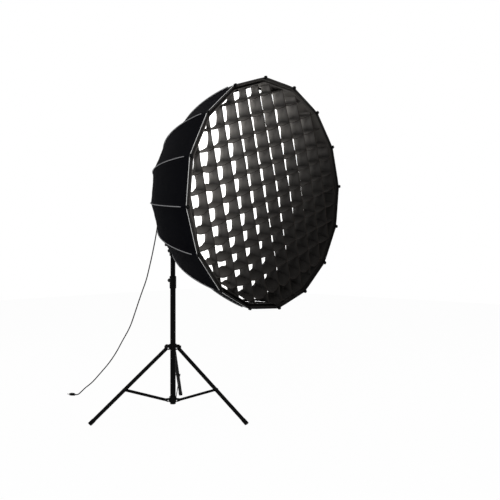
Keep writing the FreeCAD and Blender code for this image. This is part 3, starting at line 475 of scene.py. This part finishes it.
class Build:
    """Collects sheets and tubes of points, with metric surface coordinates, into one mesh."""

    def __init__(self):
        self.points = []
        self.faces = []
        self.places = []
        self.cells = []
        self.kinds = []

    def sheet(self, rows, kind=0, flip=False, from_seams=False, cells=None):
        """A sheet from rows of points. Its coordinates are lengths along and across it, or
        across it from the nearer of its two side edges. cells gives each row its places in a
        grid strip: across it, and along its cell, for a face that starts at the row and for
        one that ends there."""
        first = len(self.points)
        wide = len(rows[0])
        lengths = []
        along = 0.0
        for i, row in enumerate(rows):
            if i:
                along += (row[wide // 2] - rows[i - 1][wide // 2]).length
            across = [0.0]
            for before, point in zip(row, row[1:]):
                across.append(across[-1] + (point - before).length)
            if from_seams:
                across = [min(length, across[-1] - length) for length in across]
            self.points += row
            lengths += [(length, along) for length in across]
        for i in range(len(rows) - 1):
            for j in range(wide - 1):
                a = i * wide + j
                corners = [a, a + 1, a + wide + 1, a + wide]
                if flip:
                    corners.reverse()
                self.faces.append([first + c for c in corners])
                self.places.append([lengths[c] for c in corners])
                if cells:
                    face_cells = []
                    for c in corners:
                        inward, starting, ending = cells[c // wide]
                        face_cells.append((inward[c % wide], starting if c // wide == i else ending))
                    self.cells.append(face_cells)
                self.kinds.append(kind)

    def tube(self, path, radius, sides=10, closed=False, flat=1.0, up=None):
        """A tube about a path. Its section may be flattened towards a given direction."""
        count = len(path)
        rows = []
        for i, point in enumerate(path):
            before = path[(i - 1) % count] if closed else path[max(i - 1, 0)]
            after = path[(i + 1) % count] if closed else path[min(i + 1, count - 1)]
            along = (after - before).normalized()
            normal = up(point) if up else along.orthogonal()
            side = along.cross(normal).normalized()
            normal = side.cross(along).normalized()
            ring = []
            for k in range(sides + 1):
                angle = 2 * math.pi * k / sides
                ring.append(point + side * (radius * math.cos(angle))
                            + normal * (radius * flat * math.sin(angle)))
            rows.append(ring)
        if closed:
            rows.append(rows[0])
        self.sheet(rows)
        if not closed:
            for row, turn in ((rows[0], 1), (rows[-1], -1)):
                first = len(self.points)
                self.points += row[:-1][::turn]
                self.faces.append([first + k for k in range(sides)])
                self.places.append([(0.0, 0.0)] * sides)
                self.kinds.append(0)

    def piece(self, name, body, materials, smooth=True):
        mesh = bpy.data.meshes.new(name)
        mesh.from_pydata([tuple(p) for p in self.points], [], self.faces)
        layer = mesh.uv_layers.new(name="surface")
        flat = [place for face in self.places for place in face]
        for loop, place in zip(layer.data, flat):
            loop.uv = place
        if self.cells:
            layer = mesh.uv_layers.new(name="cell")
            for loop, place in zip(layer.data, [place for face in self.cells for place in face]):
                loop.uv = place
        for material in materials:
            mesh.materials.append(material)
        for polygon, kind in zip(mesh.polygons, self.kinds):
            polygon.material_index = kind
            polygon.use_smooth = smooth
        mesh.validate()
        made = bpy.data.objects.new(name, mesh)
        bpy.context.scene.collection.objects.link(made)
        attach(made, body)
        return made


# ---- camera, light and stage ---------------------------------------------------
CAMERA_PLACE = (-2.6465, -3.0351, 0.992)
CAMERA_PITCH = math.radians(90 - 0.181)
CAMERA_TURN = math.radians(-47.653)
CAMERA_LENS = 48.22            # in millimetres, on a sensor 36 mm wide
FLOOR_REACH = 9.0


def set_camera():
    data = bpy.data.cameras.new("view")
    data.lens = CAMERA_LENS
    data.sensor_width = 36.0
    made = bpy.data.objects.new("view", data)
    made.location = CAMERA_PLACE
    made.rotation_euler = (CAMERA_PITCH, 0, CAMERA_TURN)
    bpy.context.scene.collection.objects.link(made)
    bpy.context.scene.camera = made


def add_area(name, place, target, size, power):
    data = bpy.data.lights.new(name, "AREA")
    data.shape = "RECTANGLE"
    data.size = size[0]
    data.size_y = size[1]
    data.energy = power
    made = bpy.data.objects.new(name, data)
    made.location = place
    direction = Vector(target) - Vector(place)
    made.rotation_euler = direction.to_track_quat("-Z", "Y").to_euler()
    bpy.context.scene.collection.objects.link(made)


def seen_directly(start):
    """1 for camera, glossy and transmission rays."""
    rays = [start.node("ShaderNodeLightPath", output=k) for k in (0, 3, 6)]
    return rays[0].larger(rays[1]).larger(rays[2])


def set_stage():
    world = bpy.data.worlds.new("studio")
    bpy.context.scene.world = world
    world.use_nodes = True
    tree = world.node_tree
    start = Value(tree)
    light = seen_directly(start) * 0.55 + 0.45
    background = tree.nodes["Background"]
    background.inputs["Color"].default_value = (1, 1, 1, 1)
    tree.links.new(light.socket, background.inputs["Strength"])

    mesh = bpy.data.meshes.new("floor")
    signs = ((-1, -1), (1, -1), (1, 1), (-1, 1))
    corners = [(x * FLOOR_REACH, y * FLOOR_REACH, 0) for x, y in signs]
    mesh.from_pydata(corners, [], [(0, 1, 2, 3)])
    floor = bpy.data.objects.new("floor", mesh)
    bpy.context.scene.collection.objects.link(floor)
    material = bpy.data.materials.new("floor_paper")
    material.use_nodes = True
    tree = material.node_tree
    tree.nodes.clear()
    start = Value(tree)
    paper = start.node("ShaderNodeBsdfDiffuse", None, {"Color": (0.86, 0.86, 0.86, 1)})
    white = start.node("ShaderNodeEmission", None, {"Color": (1, 1, 1, 1), "Strength": 1.0})
    inputs = {0: seen_directly(start) * 0.97, 1: paper, 2: white}
    surface = start.node("ShaderNodeMixShader", None, inputs)
    start.node("ShaderNodeOutputMaterial", None, {"Surface": surface})
    mesh.materials.append(material)

    add_area("key", (-3.4, -3.0, 3.2), (0, -0.4, 1.1), (2.2, 2.2), 95)
    add_area("fill", (3.0, -2.6, 1.8), (0, -0.4, 1.0), (2.0, 2.4), 35)
    add_area("back", (-1.5, 3.2, 2.6), (0, 0, 1.1), (2.4, 1.6), 45)
    bpy.context.scene.view_settings.view_transform = "Standard"


# ---- the lead ------------------------------------------------------------------
def make_lead():
    """The lead is one smooth line."""
    data = bpy.data.curves.new("lead_line", "CURVE")
    data.dimensions = "3D"
    spline = data.splines.new("NURBS")
    spline.points.add(len(CORD_ROUTE) - 1)
    for point, place in zip(spline.points, CORD_ROUTE):
        point.co = (place[0] / 1000, place[1] / 1000, place[2] / 1000, 1.0)
    spline.order_u = 3
    spline.use_endpoint_u = True
    spline.resolution_u = 10
    line = bpy.data.objects.new("lead_line", data)
    path = [tuple(vertex.co) for vertex in bpy.data.meshes.new_from_object(line).vertices]
    data.bevel_depth = CORD_DIAMETER / 2
    data.bevel_resolution = 4
    data.use_fill_caps = True
    mesh = bpy.data.meshes.new_from_object(line)
    bpy.data.objects.remove(line)
    mesh.materials.clear()
    mesh.materials.append(CORD_COVER)
    for polygon in mesh.polygons:
        polygon.use_smooth = True
    lead = bpy.data.objects.new("mains_lead", mesh)
    bpy.context.scene.collection.objects.link(lead)
    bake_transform(lead)
    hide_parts("mains_cord")


# ---- softbox -------------------------------------------------------------------
def towards_axis(a, b, depth):
    """The way in from between two seams. Near the back it also leans forwards."""
    return (behind_rim(min(depth, DEEPEST_AIM), 0, 0) - (a + b) / 2).normalized()


def drawn_in(a, b, u, depth, amount):
    """A point between two seams, where tight cloth draws in towards the axis."""
    inward = towards_axis(a, b, depth)
    return a.lerp(b, u) + inward * (math.sin(math.pi * u) * (b - a).length * amount)


def panel_rows(number, inset, across_steps, profile):
    """One panel between two seams: tight cloth that draws in a little between the ribs."""
    rows = []
    for i, (depth, radius) in enumerate(profile):
        a = behind_rim(depth, corner_angle(number), radius)
        b = behind_rim(depth, corner_angle(number + 1), radius)
        inward = towards_axis(a, b, depth)
        edge = min(1.0, depth / 0.05)
        row = []
        for j in range(across_steps + 1):
            u = j / across_steps
            wave = noise.noise(Vector((u * 7, i * 0.5, number * 3.7)))
            pucker = wave * PUCKER * edge * math.sin(math.pi * u)
            row.append(drawn_in(a, b, u, depth, DRAW_IN * edge) + inward * (inset + pucker))
        rows.append(row)
    return rows


def make_shell():
    outside = seam_profile(0.0, CLOTH_HUB_R, 22)
    shell = Build()
    lining = Build()
    for number in range(SIDES):
        shell.sheet(panel_rows(number, 0.0, 14, outside), from_seams=True)
        lining.sheet(panel_rows(number, 0.0012, 14, outside), flip=True)
    cloth = shell.piece("softbox_shell", "softbox", [SHELL_CLOTH])
    silver = lining.piece("silver_lining", "softbox", [SILVER])
    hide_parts("shell_panels")
    area = 0.0
    for i in range(len(outside) - 1):
        run = math.dist(outside[i], outside[i + 1])
        area += run * (outside[i][1] + outside[i + 1][1]) * math.sin(SIDE_ANGLE / 2) * SIDES


def outward_of(point):
    foot = TILT.inverted() @ point
    return TILT.to_3x3() @ Vector((foot.x, 0, foot.z - PIVOT.z)).normalized()


def make_piping():
    build = Build()
    line = seam_profile(PIPING_STOP, CLOTH_HUB_R + 0.012, 18, 0.0026)
    for number in range(SIDES):
        path = [behind_rim(depth, corner_angle(number), radius) for depth, radius in line]
        build.tube(path, PIPING_R, 8, flat=1.2, up=outward_of)
    piping = build.piece("seam_cords", "softbox", [PIPING])
    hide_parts("seam_piping")


def rim_path(radius, depth, steps):
    path = []
    for number in range(SIDES):
        a = behind_rim(depth, corner_angle(number), radius)
        b = behind_rim(depth, corner_angle(number + 1), radius)
        path += [a.lerp(b, (k + 0.15) / (steps - 0.7)) for k in range(steps - 1)]
    return path


def make_rim():
    """The pale tape round the outside of the rim, the black hem cord in front of it, and the
    band inside the rim that the diffuser and the grid are fastened to."""
    tape = Build()
    edge = Build()
    outer = [(0.0046, 0.0002), (0.0043, 0.0013), (0.0019, 0.0013), (0.0015, 0.0002)]
    for number in range(SIDES):
        rows = []
        for depth, out in outer:
            ends = [behind_rim(depth, corner_angle(number + k), RIM_R + out) for k in (0, 1)]
            rows.append([ends[0].lerp(ends[1], j / 10) for j in range(11)])
        tape.sheet(rows)
    edge.tube(rim_path(RIM_R - 0.0001, 0.0002, 6), 0.0014, 10, closed=True, up=outward_of)
    binding = tape.piece("rim_tape", "softbox", [BINDING])
    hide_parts("rim_binding")
    hem = edge.piece("rim_hem_cord", "softbox", [HEM_CLOTH])

    band = Build()
    depths = [0.0, 0.003, 0.008, 0.02, 0.04, 0.065, BAND_DEPTH]
    for number in range(SIDES):
        first = [behind_rim(-0.0006, corner_angle(number + k), RIM_R - 0.001) for k in (0, 1)]
        rows = [[first[0].lerp(first[1], j / 12) for j in range(13)]]
        for depth in depths:
            radius = liner_radius(depth) - 0.001
            a, b = [behind_rim(depth, corner_angle(number + k), radius) for k in (0, 1)]
            pull = DRAW_IN * 0.7 * min(1.0, depth / 0.05)
            rows.append([drawn_in(a, b, j / 12, depth, pull) for j in range(13)])
        band.sheet(rows[:4], 1)
        band.sheet(rows[3:])
    lining = band.piece("rim_lining", "softbox", [GRID_CLOTH, RIM_CLOTH])
    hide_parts("front_band")


def squarer(value):
    """A sine or cosine, changed so that a circle turns into a rounded square."""
    return math.copysign(abs(value) ** CAP_SQUARENESS, value)


def make_tip_caps():
    """Rounded moulded caps over the ribs' tips, at the rim's corners."""
    build = Build()
    profile = [(-0.012, 0.0), (-0.0118, 0.55), (-0.0105, 0.85), (-0.007, 0.97), (0.0, 1.0),
               (0.0025, 0.97), (0.0045, 0.82), (0.0055, 0.5), (0.0058, 0.0)]
    turns = [2 * math.pi * k / 20 for k in range(21)]
    middle = behind_rim(0.0, 0.0, 0.0)
    backwards = behind_rim(1.0, 0.0, 0.0) - middle
    for number in range(SIDES):
        angle = corner_angle(number)
        sideways = behind_rim(0.0, angle + math.pi / 2, 1.0) - middle
        rows = []
        for out, size in profile:
            centre = behind_rim(-CAP_FRONT, angle, RIM_R + out)
            side = sideways * CAP_HALF_WIDTH * size
            deep = backwards * CAP_HALF_DEPTH * size
            rows.append([centre + side * squarer(math.cos(a)) + deep * squarer(math.sin(a))
                         for a in turns])
        build.sheet(rows)
    caps = build.piece("rib_end_caps", "softbox", [PLASTIC])
    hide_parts("rib_tip_caps")


def liner_radius(depth):
    front = rib_radius(0.001) - LINER_INSET
    back = rib_radius(BAND_DEPTH) - LINER_INSET
    return front + (back - front) * (depth - 0.001) / (BAND_DEPTH - 0.001)


def make_diffusers():
    for name, node, depth, radius, material, bulge in (
            ("front_diffuser_cloth", "front_diffuser", DIFFUSER_DEPTH,
             liner_radius(DIFFUSER_DEPTH) - 0.0025, FRONT_GLOW, 0.0),
            ("inner_diffuser_cloth", "inner_diffuser", INNER_DIFFUSER_DEPTH,
             rib_radius(INNER_DIFFUSER_DEPTH) - 0.0075, INNER_GLOW, 0.006)):
        build = Build()
        for number in range(SIDES):
            rows = []
            for part in (0.13, 0.26, 0.39, 0.52, 0.65, 0.78, 0.88, 1 - HEM_WIDTH / radius, 1.0):
                dip = bulge * (1 - part * part)
                a = behind_rim(depth + dip, corner_angle(number), radius * part)
                b = behind_rim(depth + dip, corner_angle(number + 1), radius * part)
                rows.append([drawn_in(a, b, j / 6, depth, DRAW_IN * part * part) for j in range(7)])
            build.sheet([[behind_rim(depth + bulge, 0, 0)] * 7] + rows[:-1])
            build.sheet(rows[-2:], 1)
        cloth = build.piece(name, "softbox", [material, HEM_CLOTH])
        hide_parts(node)
        area = 0.5 * SIDES * radius * radius * math.sin(SIDE_ANGLE)
        radius * 2
        radius * 2


# ---- grid ----------------------------------------------------------------------
BORDER_OUTER = liner_radius(GRID_BACK) - 0.0013
FLAT_DISTANCE = (BORDER_OUTER - 0.0016) * math.cos(SIDE_ANGLE / 2) - 0.0003
GRID_ROLL = BOX_ROLL - SIDE_ANGLE / 2


def half_length(place):
    limits = [FLAT_DISTANCE]
    for k in range(1, SIDES // 4):
        angle = k * SIDE_ANGLE
        limits.append((FLAT_DISTANCE - (abs(place) + 0.001) * math.cos(angle)) / math.sin(angle))
    return min(limits)


def strip_places(pitch, first):
    reach = int(RIM_R / pitch) + 1
    places = [first + pitch * i for i in range(-reach, reach + 1)]
    return [p for p in places if abs(p) < FLAT_DISTANCE and half_length(p) > SHORTEST_STRIP]


COLUMNS = strip_places(COLUMN_PITCH, COLUMN_PITCH / 2)
ROWS = strip_places(ROW_PITCH, ROW_OFFSET)


def grid_point(x, z, depth):
    angle = math.atan2(x, z) + GRID_ROLL
    return behind_rim(depth, angle, math.hypot(x, z))


def smooth_part(value, low, high):
    part = min(1.0, max(0.0, (value - low) / (high - low)))
    return part * part * (3 - 2 * part)


def scallop(x):
    """How far a strip's back edge is drawn forwards between its crossings. The cloth is
    slackest on one side of the grid."""
    knots = [(-0.6, 0.021), (-0.47, 0.021), (-0.4, 0.0135), (-0.1, 0.0115), (0.0, 0.003), (0.2, 0.0035),
             (0.3, 0.006), (0.4, 0.0), (0.6, 0.0)]
    for (low, a), (high, b) in zip(knots, knots[1:]):
        if x < high:
            return a + (b - a) * smooth_part(x, low, high)
    return 0.0


def free_end(x, z):
    """How much more the back edges are drawn forwards near the rim, high on the slack side."""
    corner = smooth_part(z, 0.2, 0.44) * (1 - smooth_part(x, -0.36, -0.14))
    top = smooth_part(z, 0.485, 0.525) * (1 - smooth_part(x, 0.12, 0.2))
    low = smooth_part(-z, 0.1, 0.2) * smooth_part(z, -0.36, -0.3) * (1 - smooth_part(x, -0.38, -0.3))
    return PULLED_CORNER * corner + PULLED_TOP * top + PULLED_LOW * low


def row_rise(z):
    return ROW_TILT + ROW_DROOP * max(0.0, -0.1 - z)


def column_x(place, z):
    """Where a column is at a height: it leans, and is drawn in at its ends on one side."""
    uneven = 0.003 * noise.noise(Vector((place * 9, z * 9, 4.0)))
    return (place + COLUMN_LEAN * z + COLUMN_SPREAD * max(0.0, -place - 0.1) * z
            - COLUMN_GATHER * max(0.0, place + 0.1) * z * z + uneven)


def column_end(place, side):
    end = half_length(place)
    for _ in range(4):
        end = half_length(column_x(place, side * end))
    return side * end


def column_point(place, z, t, size, w, random):
    """A point of an upright strip. w runs from its front edge to its back edge."""
    x = column_x(place, z)
    round_end = 1 - smooth_part(x, -0.48, -0.12)
    lifted = t ** (1.5 - 0.5 * round_end)
    slack = size * math.sin(math.pi * lifted) ** (0.8 - 0.32 * round_end) if 0 < t < 1 else 0.0
    even = size * math.sin(math.pi * t) if 0 < t < 1 else 0.0
    uneven = 0.0035 + 0.005 * smooth_part(x, 0.1, 0.3)
    back = GRID_BACK - (scallop(x) + uneven * random[0]) * slack - free_end(x, z)
    front = GRID_FRONT + 0.0015 * even
    belly = even * math.sin(math.pi * min(1.0, w * 1.05)) * (0.009 + 0.005 * random[1])
    pinch = 0.005 * smooth_part(x, -0.15, 0.0) * even * (1 - t) * w
    return grid_point(x - belly - pinch - 0.003 * even * random[2], z + row_rise(z) * w * 0.6,
                      front + (back - front) * w)


def row_point(place, x, t, size, w, random, first_full):
    """A point of a level strip: its front edge sags, and its back edge stands higher. In the
    first whole cell it twists."""
    slack = size * math.sin(math.pi * t) ** 0.75 if 0 < t < 1 else 0.0
    back = GRID_BACK - (scallop(x) * 0.9 + 0.003 * random[0]) * slack - 0.8 * free_end(x, place)
    front = GRID_FRONT + 0.001 * slack
    lowest = smooth_part(-place, 0.4, 0.45)
    sag = FULL_SAG if first_full else ROW_SAG + 0.003 * random[3] + LOWEST_SAG * lowest
    rise = row_rise(place) * w ** 1.3
    if first_full:
        rise += w * 0.01 * smooth_part(t, 0.15, 0.75) * (1 - smooth_part(t, 0.8, 1.0))
    belly = slack * math.sin(math.pi * w) * (0.003 + 0.003 * random[1])
    bow = ROW_BOW * max(0.0, -0.1 - place) * smooth_part(-x, 0.2, 0.45)
    z = (place + rise + bow - belly - slack * (sag * (1 - w) + 0.004 * w)
         + 0.002 * noise.noise(Vector((x * 9, place, 7.0))))
    return grid_point(x, z, front + (back - front) * w)


def strip_rows(place, upright, seed):
    """One cloth strip: held where it crosses the others, and slack between them. With each
    row of points come its places in the strip's depth and in its cell."""
    if upright:
        ends = [column_end(place, side) for side in (-1, 1)]
        crossings = ROWS
    else:
        ends = [side * half_length(place) for side in (-1, 1)]
        crossings = [column_x(column, place) for column in COLUMNS]
    knots = ends[:1] + [c for c in sorted(crossings) if ends[0] + 0.004 < c < ends[1] - 0.004] + ends[1:]
    steps_in = [k / 8 for k in range(9)]
    rows = []
    cells = []
    for number, (low, high) in enumerate(zip(knots, knots[1:])):
        steps = max(4, round((high - low) / 0.0085))
        seeds = [Vector((seed * 1.71 + k * 9.1, number * 2.37, 0.5 + k)) for k in range(4)]
        random = [noise.noise(place_in_noise) * 1.6 for place_in_noise in seeds]
        size = min(1.0, (high - low) / ROW_PITCH)
        last = number == len(knots) - 2
        first_full = number == 1 and abs(place) < 0.3
        for i in range(steps + last):
            t = i / steps
            length = low + (high - low) * t
            if upright:
                rows.append([column_point(place, length, t, size, w, random) for w in steps_in])
            else:
                rows.append([row_point(place, length, t, size, w, random, first_full) for w in steps_in])
            cells.append((steps_in, t, t if i else 1.0))
    return rows, cells


def make_grid():
    hems = Build()
    sheets = []
    for name, node, places, upright, finish in (
            ("grid_column_cloth", "grid_columns", COLUMNS, True, COLUMN_CLOTH),
            ("grid_row_cloth", "grid_rows", ROWS, False, ROW_CLOTH)):
        build = Build()
        area = 0.0
        for seed, place in enumerate(places):
            rows, cells = strip_rows(place, upright, seed + (0 if upright else ROW_SEED))
            build.sheet(rows, cells=cells)
            hems.tube([row[0] for row in rows], HEM_R, 6)
            area += 2 * half_length(place) * (GRID_BACK - GRID_FRONT)
        cloth = build.piece(name, "grid", [finish])
        thick = cloth.modifiers.new("cloth", "SOLIDIFY")
        thick.thickness = CLOTH_THICKNESS
        thick.offset = 0
        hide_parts(node)
        sheets.append((cloth, area))
    edges = hems.piece("grid_front_hems", "grid", [GRID_HEM_AND_SHADE])
    wide = GRID_BACK - GRID_FRONT
    for cloth, area in sheets:
        area / wide


def make_border():
    """The band of cloth round the grid, in contact with the rim's lining."""
    build = Build()
    section = [(BORDER_FRONT, 0.0), (BORDER_FRONT, 0.0016), ((GRID_FRONT + GRID_BACK) / 2, 0.0016),
               (GRID_BACK, 0.0016), (GRID_BACK, 0.0), (BORDER_FRONT, 0.0)]
    for number in range(SIDES):
        rows = []
        for depth, inset in section:
            a, b = [behind_rim(depth, corner_angle(number + k), BORDER_OUTER - inset) for k in (0, 1)]
            rows.append([a.lerp(b, j / 12) for j in range(13)])
        build.sheet(rows)
    border = build.piece("grid_border_tape", "grid", [GRID_CLOTH], smooth=False)
    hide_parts("grid_border")


# ---- finishes on the frame's own parts --------------------------------------------
def finish_nodes():
    groups = {
        "tube_black": TUBE_BLACK, "stand_plastic": PLASTIC, "rubber_black": RUBBER, "steel": STEEL,
        "yoke_black": YOKE_BLACK, "lamp_black": LAMP_BLACK, "lamp_plastic": PLASTIC,
        "bare_aluminium": SINK_METAL, "ring_aluminium": RING_METAL, "rib_steel": STEEL,
        "plug_black": CORD_COVER,
        "clear_glass": GLASS, "led_yellow": LED, "display_dark": DISPLAY,
    }
    slots = {part["node"]: part["material_slot"] for part in frame["record"]["subparts"]}
    for node, made in frame["nodes"].items():
        material = groups.get(slots[node])
        if material:
            made.data.materials.clear()
            made.data.materials.append(material)


set_camera()
make_lead()
set_stage()
make_shell()
make_piping()
make_rim()
make_tip_caps()
make_diffusers()
make_border()
make_grid()
finish_nodes()
